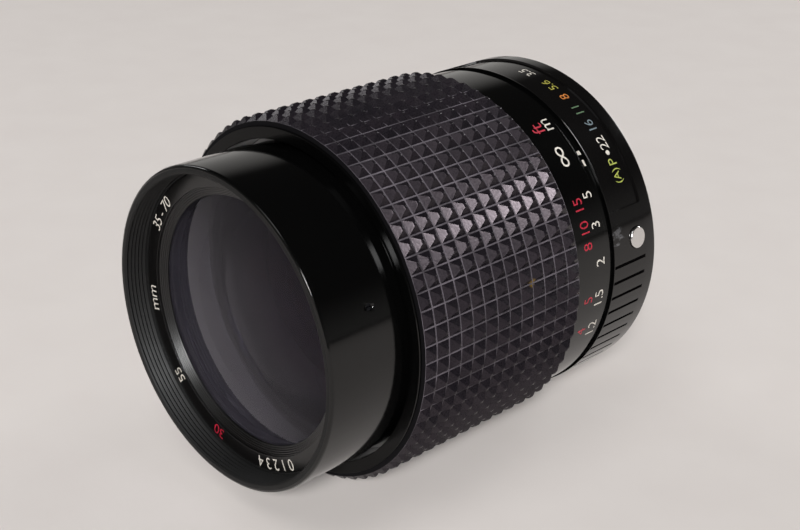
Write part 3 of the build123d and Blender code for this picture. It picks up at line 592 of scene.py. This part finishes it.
def fill_marks(name, marks, body, paint):
    """Join marks of one colour into a piece that rides on its ring's body."""
    made = [wrap_mark(*mark) for mark in marks]
    bpy.ops.object.select_all(action="DESELECT")
    for mark in made:
        mark.select_set(True)
    piece = made[0]
    bpy.context.view_layer.objects.active = piece
    if len(made) > 1:
        bpy.ops.object.join()
    piece.name = piece.data.name = name
    piece.data.materials.clear()
    piece.data.materials.append(paint)
    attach(piece, body)


# enamel rubbed into engraving: dull, slightly uneven colour, with a little dirt in it
def filling_enamel(name, colour):
    """Make the enamel of one colour."""
    paint, surface = new_finish(name, Roughness=0.45)
    dirty = [c * 0.65 for c in linear(colour)[:3]] + [1.0]
    tone = mottled_tone(paint, {"Scale": 1500.0, "Detail": 3.0}, dirty, linear(colour), 0.3, 0.6)
    paint.node_tree.links.new(tone, surface.inputs["Base Color"])
    return paint


white_enamel = filling_enamel("white_enamel", "#d2ccc2")
red_enamel = filling_enamel("red_enamel", "#ad1c33")

name_circle = 25.5
front_white = [("35 - 70", 2.1, -56), ("mm", 1.5, -98), ("55", 2.1, -132), ("0 1 2 3 4", 2.1, 161)]
fill_marks(
    "name_ring_marks_white",
    [(text, tall, round_face(name_circle, angle, name_front)) for text, tall, angle in front_white],
    "front_group", white_enamel,
)
fill_marks(
    "name_ring_marks_red", [("30", 2.1, round_face(name_circle, -162, name_front))],
    "front_group", red_enamel,
)


# Rubber grip: a moulded sleeve of black rubber stretched over the metal one, with 13 rows of 68 small
# pyramids whose tips are worn round. Dust and skin grease have turned its valleys pale.
grip_rows, grip_columns = 13, 68
grip_root, grip_wall = 32.4, 1.1
grip_front, grip_rear = -62.8, -24.5
row_stretch = 1.04
valley_half = 0.13
# how far a pyramid's slope runs in and up, and then the two steps of its worn tip
pyramid_steps = [(0.93, 0.94), (0.16, 0.12), (0.08, 0.02)]

# natural rubber, moulded and aged: nearly black, with a grainy skin that shines dully where a facet faces
# the light, and one fleck of dried dirt
rubber, surface = new_finish("aged_moulded_rubber", Specular_IOR_Level=0.27)
surface.inputs["Specular Tint"].default_value = linear("#eadbe4")
body_tone = mottled_tone(
    rubber, {"Scale": 160.0, "Detail": 5.0, "Roughness": 0.65}, linear("#131115"), linear("#1f1b1f"),
    0.35, 0.7,
)
place = add_node(rubber, "TexCoord").outputs["Object"]
fleck_spot, _ = square_on(79, -37.0, 33.0)
from_fleck = add_node(rubber, "VectorMath", {1: fleck_spot}, {0: place}, operation="DISTANCE")
fleck = add_node(
    rubber, "MapRange", {"From Min": 1.0 * mm, "From Max": 0.6 * mm}, {"Value": from_fleck.outputs["Value"]}
)
skin_tone = add_node(
    rubber, "Mix", {"B": linear("#6a5320")}, {"Factor": fleck.outputs["Result"], "A": body_tone},
    data_type="RGBA",
)
rubber.node_tree.links.new(skin_tone.outputs["Result"], surface.inputs["Base Color"])
skin = add_node(rubber, "TexNoise", {"Scale": 2500.0, "Detail": 2.0, "Roughness": 0.7}, {"Vector": place})
shine = add_node(rubber, "MapRange", {"To Min": 0.2, "To Max": 0.36}, {"Value": skin.outputs["Fac"]})
rubber.node_tree.links.new(shine.outputs["Result"], surface.inputs["Roughness"])
skin_bump = add_node(
    rubber, "Bump", {"Strength": 0.6, "Distance": 0.03 * mm}, {"Height": skin.outputs["Fac"]}
)
rubber.node_tree.links.new(skin_bump.outputs["Normal"], surface.inputs["Normal"])

# the same rubber in the valleys, where fine dust sticks: grey and dull, more in one place than in another
dusty_rubber, surface = new_finish("dusty_rubber_valleys", Roughness=0.8)
dust_tone = mottled_tone(
    dusty_rubber, {"Scale": 140.0, "Detail": 5.0, "Roughness": 0.7}, linear("#2f2b30"), linear("#5f5960"),
    0.35, 0.65,
)
dusty_rubber.node_tree.links.new(dust_tone, surface.inputs["Base Color"])

# the sleeve's two end faces: the same rubber made darker and duller than its sides, as painted shade
rubber_ends_painted_shade, surface = new_finish("rubber_ends_painted_dark", Roughness=0.75, Specular_IOR_Level=0.1)
surface.inputs["Base Color"].default_value = linear("#09080a")

grip = open_edit("pyramid_rubber", grip_root, grip_front, grip_columns)
grip_length = grip_rear - grip_front
rows = [grip_front + grip_length * (n / grip_rows) ** row_stretch for n in range(grip_rows + 1)]
follow_outline([(grip_root, row) for row in rows])
grip.data.materials.append(rubber)
grip.data.materials.append(dusty_rubber)
bpy.ops.mesh.select_all(action="SELECT")
bpy.ops.mesh.normals_make_consistent(inside=False)
grip.active_material_index = 1
bpy.ops.object.material_slot_assign()
bpy.ops.mesh.inset(thickness=valley_half * mm, use_individual=True)
grip.active_material_index = 0
bpy.ops.object.material_slot_assign()
for width, height in pyramid_steps:
    bpy.ops.mesh.inset(thickness=width * mm, depth=height * mm, use_individual=True)
bpy.ops.object.mode_set(mode="OBJECT")
wall = grip.modifiers.new("wall", "SOLIDIFY")
wall.thickness = grip_wall * mm
wall.offset = -1
wall.material_offset_rim = -1
bpy.ops.object.modifier_apply(modifier=wall.name)
# the end faces take the darker rubber, painted shade where they meet the metal
grip.data.materials.append(rubber_ends_painted_shade)
finish_where(grip, 2, lambda face: abs(face.normal.y) > 0.9)
shade_flat_faces_true(grip, 38)
put_on(grip, "rubber_grip", "grip_rubber")

# the metal sleeve under it, of which only the front lip shows
sleeve_bore, seat_radius, sleeve_radius, lip_radius = 29.4, 30.4, 31.2, 31.6
lip_front, sleeve_rear = -63.4, -16.8
sleeve = turn_on_lathe(
    "grip_sleeve_tube",
    [
        (sleeve_bore, lip_front), (lip_radius, lip_front), (lip_radius, grip_front),
        (sleeve_radius, grip_front), (sleeve_radius, grip_rear), (seat_radius, grip_rear),
        (seat_radius, sleeve_rear), (sleeve_bore, sleeve_rear),
    ],
    round_edges=0.15,
)
finish_where(sleeve, 1, lambda face: abs(face.normal.y) > 0.9)
put_on(sleeve, "grip_sleeve", "black_aluminium", gloss_anodised, black_lacquer)


# Distance ring: a turned ring fixed to the back of the grip, gloss black like the barrel, engraved with
# metres in white and feet in red.
distance_radius, distance_front, distance_rear = 31.75, -24.45, -15.6
distance_section = plain_section(seat_radius, distance_radius, distance_front, distance_rear)
distance = turn_on_lathe("distance_scale_ring", distance_section, 256, round_edges=0.12)
put_on(distance, "distance_ring", "gloss_black_aluminium", gloss_anodised)

metres = [("5", 60.3), ("3", 70.3), ("2", 82.8), ("1.5", 95.4), ("1.2", 107.4)]
feet = [("15", 62.2), ("10", 69.8), ("8", 76.2), ("5", 94.9), ("4", 107.3)]
fill_marks(
    "distance_marks_white",
    [(text, 2.2, round_ring(distance_radius, angle, -17.7)) for text, angle in metres]
    + [
        ("m", 1.75, round_ring(distance_radius, 33.6, -17.6)),
        ("∞", 1.9, round_ring(distance_radius, 45.9, -19.25)),
    ],
    "focus_grip", white_enamel,
)
fill_marks(
    "distance_marks_red",
    [("ft", 2.9, round_ring(distance_radius, 34.0, -20.4))]
    + [(text, 2.2, round_ring(distance_radius, angle, -20.7)) for text, angle in feet],
    "focus_grip", red_enamel,
)


# Index ring: the narrow fixed ring that both scales are read against, turned and anodised gloss black, with
# a white square and a white bar.
index_radius, index_front, index_rear = 31.5, -15.5, -14.1
index_angle = 46.5
scale_bore, scale_radius, scale_front, scale_rear = 27.6, 28.4, -44.2, -14.0

index_section = plain_section(scale_radius, index_radius, index_front, index_rear)
index = turn_on_lathe("index_mark_ring", index_section, 256, round_edges=0.05)
put_on(index, "index_ring", "gloss_black_aluminium", gloss_anodised)
fill_marks(
    "index_marks",
    [
        ("|", 0.8, round_ring(index_radius, index_angle, -14.75), 0.8),
        ("|", 0.5, round_ring(index_radius, 50.2, -14.8), 1.2),
    ],
    "lens_body", white_enamel,
)

# the fixed sleeve that the grip uncovers as it slides forward, with the focal lengths that it stands at
scale_section = plain_section(scale_bore, scale_radius, scale_front, scale_rear)
sleeve_tube = turn_on_lathe("scale_sleeve_tube", scale_section, 256, round_edges=0.1)
put_on(sleeve_tube, "scale_sleeve", "gloss_black_aluminium", gloss_anodised)
zoom_scale = [("70", 35.2), ("60", 31.2), ("50", 26.4), ("40", 20.4)]
fill_marks(
    "zoom_scale_marks",
    [(text, 1.9, round_ring(scale_radius, index_angle, -setback)) for text, setback in zoom_scale]
    + [("|", 0.3, round_ring(scale_radius, 53.0, -setback), 3.0) for text, setback in zoom_scale],
    "lens_body", white_enamel,
)


# Aperture ring: turned and milled aluminium, black, with grip slots milled along it, a sunk band for the
# numerals, and a bright push button that frees it from its automatic setting.
ring_bore, ring_radius = 29.4, 32.0
ring_front, ring_rear = -14.0, -1.9
milled_front, milled_rear = ring_front + 0.2, -4.8
# the ring has this many facets, of which every fifth becomes a slot
ring_facets, slot_pitch = 320, 5
first_slot = 87.2
slot_depth, band_depth = 0.6, 0.4
band_start, band_end, numerals_y = -21.5, 68.5, -7.9
button_angle, button_y, button_radius = 79.6, -7.284, 2.0
button_top, button_bottom = 32.4, 31.0

# black anodising with a soft shine: bare aluminium shows in flecks where fingers reach for the button
worn_anodised, surface = new_finish("worn_black_anodised_aluminium", Specular_IOR_Level=0.38)
turning_marks(worn_anodised, surface, 0.3, 0.002, 0.11, 0.03)
place = add_node(worn_anodised, "TexCoord").outputs["Object"]
worn_spot, _ = square_on(77, -12.3, ring_radius)
from_worn = add_node(worn_anodised, "VectorMath", {1: worn_spot}, {0: place}, operation="DISTANCE")
reach = add_node(
    worn_anodised, "MapRange", {"From Min": 4.5 * mm, "From Max": 0.5 * mm, "To Max": 0.34},
    {"Value": from_worn.outputs["Value"]},
)
along = add_node(worn_anodised, "VectorMath", {1: (1.0, 0.35, 1.0)}, {0: place}, operation="MULTIPLY")
chips = add_node(
    worn_anodised, "TexNoise", {"Scale": 1300.0, "Detail": 6.0, "Roughness": 0.75},
    {"Vector": along.outputs["Vector"]},
)
chipped = add_node(
    worn_anodised, "Math", links={0: chips.outputs["Fac"], 1: reach.outputs["Result"]}, operation="ADD"
)
bare = add_node(
    worn_anodised, "MapRange", {"From Min": 0.78, "From Max": 0.9}, {"Value": chipped.outputs["Value"]}
)
shell_tone = add_node(
    worn_anodised, "Mix", {"A": linear("#0a0909"), "B": linear("#77787b")},
    {"Factor": bare.outputs["Result"]}, data_type="RGBA",
)
worn_anodised.node_tree.links.new(shell_tone.outputs["Result"], surface.inputs["Base Color"])
worn_anodised.node_tree.links.new(bare.outputs["Result"], surface.inputs["Metallic"])


def push_faces(piece, wanted, old_radius, new_radius):
    """Move the faces that pass a test nearer the axis or further from it, with walls round them."""
    bpy.ops.object.mode_set(mode="EDIT")
    bpy.ops.mesh.select_mode(type="FACE")
    bpy.ops.mesh.select_all(action="DESELECT")
    bpy.ops.object.mode_set(mode="OBJECT")
    for face in piece.data.polygons:
        face.select = wanted(face.center)
    bpy.ops.object.mode_set(mode="EDIT")
    bpy.ops.mesh.extrude_region_move()
    scale = new_radius / old_radius
    bpy.ops.transform.resize(value=(scale, 1, scale), center_override=(0, 0, 0))
    bpy.ops.object.mode_set(mode="OBJECT")


def angle_of(spot):
    """The angle of a point round the axis, from straight up towards +X."""
    return degrees(atan2(spot.x, spot.z))


def on_milled_band(spot):
    """Whether a point lies on the outside of the ring, between its two rims."""
    outside = off_axis(spot) > (ring_radius - 0.1) * mm
    return outside and milled_front < spot.y / mm < milled_rear


def on_number_band(spot):
    """Whether a point lies where the band for the numerals is sunk."""
    return on_milled_band(spot) and band_start < angle_of(spot) < band_end


def on_slot(spot):
    """Whether a point lies where a slot is milled."""
    return on_milled_band(spot) and min(abs(angle_of(spot) - angle) for angle in slot_angles) < facet / 2


aperture = turn_on_lathe(
    "aperture_ring_milled",
    [
        (ring_bore, ring_front), (ring_radius, ring_front), (ring_radius, milled_front),
        (ring_radius, milled_rear), (ring_radius, ring_rear - 0.35), (ring_radius - 0.1, ring_rear - 0.1),
        (ring_radius - 0.35, ring_rear), (ring_bore, ring_rear),
    ],
    ring_facets,
)
# turn the ring until the middle of a facet is at the first slot
facet = 360 / ring_facets
spin = (first_slot - facet / 2) % facet
bpy.ops.object.mode_set(mode="EDIT")
bpy.ops.mesh.select_all(action="SELECT")
bpy.ops.transform.rotate(value=radians(-spin), orient_axis="Y", center_override=(0, 0, 0))
bpy.ops.object.mode_set(mode="OBJECT")
push_faces(aperture, on_number_band, ring_radius, ring_radius - band_depth)
# the slots run round from the first one to just before the numerals
slot_angles = []
for n in range(ring_facets // slot_pitch):
    angle = (first_slot + n * slot_pitch * facet + 180) % 360 - 180
    if not band_start - 4 < angle < first_slot - 1:
        slot_angles.append(angle)
push_faces(aperture, on_slot, ring_radius, ring_radius - slot_depth)
cut_away(
    aperture,
    stand_rod("drill", button_radius + 0.1, button_angle, button_y, ring_bore - 0.1, ring_radius + 1),
)
round_edges_off(aperture, 0.03, 50)
shade_flat_faces_true(aperture, 30)
step_end = (ring_front + 0.1) * mm
finish_where(aperture, 1, lambda face: face.normal.y < -0.3 and face.center.y < step_end)
put_on(aperture, "aperture_ring", "satin_black_ring", worn_anodised, black_lacquer)

# the lock button: a turned cap of polished aluminium, bright, and almost a mirror
polished_aluminium, surface = new_finish("polished_aluminium", Metallic=1.0)
surface.inputs["Base Color"].default_value = linear("#e6e4e2")
turning_marks(polished_aluminium, surface, 0.1, 0.001, 0.2, 0.04)
button = stand_rod(
    "lock_button_cap", button_radius, button_angle, button_y, button_bottom, button_top, sides=64
)
round_edges_off(button, 0.2, segments=4)
shade_flat_faces_true(button, 40)
put_on(button, "lock_button", "bright_button", polished_aluminium)

# the stops, each in its own colour, the white dot, and the two marks of the automatic settings
stop_enamels = {
    "white": ([("22", 45.9, 2.1), ("•", 49.7, 0.95), ("3.5", 7.4, 2.0)], white_enamel),
    "yellow": ([("5.6", 17.8, 2.0)], filling_enamel("yellow_enamel", "#a8a145")),
    "orange": ([("8", 25.0, 2.1)], filling_enamel("orange_enamel", "#c27533")),
    "green": ([("11", 31.8, 2.1)], filling_enamel("green_enamel", "#4f6b4c")),
    "blue": ([("16", 38.6, 2.1)], filling_enamel("blue_grey_enamel", "#5c6b72")),
    "lime": ([("P", 53.0, 2.0), ("(A)", 58.0, 2.3)], filling_enamel("lime_enamel", "#9fa84c")),
}
band_radius = ring_radius - band_depth
for colour, (marks, paint) in stop_enamels.items():
    fill_marks(
        f"aperture_marks_{colour}",
        [(text, tall, round_ring(band_radius, angle, numerals_y)) for text, angle, tall in marks],
        "aperture_ring", paint,
    )


# Bayonet: turned and milled brass, chromed, so it wears well against the camera body. It has a flange, a
# neck with three lugs, sunk holes for the five screws and a hole for the sprung pin.
flange_radius, flange_front = 29.7, -1.8
neck_bore, neck_radius, neck_end = 20.7, 21.95, 5.0
relief_radius, relief_depth = 24.3, 0.3
lug_radius, lug_front, lug_rear = 24.0, 1.9, 3.5
lug_sweep, lug_count = 55, 3
screw_circle, screw_count = 26.4, 5
sunk_radius, sunk_depth = 1.6, 0.9
pin_angle, pin_hole = 324, 0.8

satin_chrome, surface = new_finish("satin_chromed_brass", Metallic=1.0)
surface.inputs["Base Color"].default_value = linear("#cfccc8")
turning_marks(satin_chrome, surface, 0.2, 0.004, 0.22, 0.05)

bayonet = turn_on_lathe(
    "bayonet_chromed",
    [
        (neck_bore, flange_front), (flange_radius, flange_front), (flange_radius, 0), (relief_radius, 0),
        (relief_radius, -relief_depth), (neck_radius, -relief_depth), (neck_radius, lug_front),
        (neck_radius, lug_rear), (neck_radius, neck_end), (neck_bore, neck_end),
    ],
    360,
)


def on_lug(spot):
    """Whether a point of the neck lies where a lug stands out."""
    outside = off_axis(spot) > (neck_radius - 0.1) * mm
    on_a_lug = angle_of(spot) % (360 / lug_count) < lug_sweep
    return outside and on_a_lug and lug_front < spot.y / mm < lug_rear


def sink(angle, radius, depth, overrun=2):
    """Sink a round hole into the back of the flange."""
    spot, _ = square_on(angle, (overrun - depth) / 2, screw_circle)
    length = (depth + overrun) * mm
    bpy.ops.object.select_all(action="DESELECT")
    bpy.ops.mesh.primitive_cylinder_add(
        vertices=48, radius=radius * mm, depth=length, location=spot, rotation=(pi / 2, 0, 0)
    )
    cut_away(bayonet, bpy.context.object)


push_faces(bayonet, on_lug, neck_radius, lug_radius)
for n in range(screw_count):
    sink(n * 360 / screw_count, sunk_radius, sunk_depth)
# the pin's hole goes right through
sink(pin_angle, pin_hole, -2 * flange_front)
round_edges_off(bayonet, 0.12, 50)
shade_flat_faces_true(bayonet, 30)
put_on(bayonet, "bayonet_mount", "chromed_brass", satin_chrome)
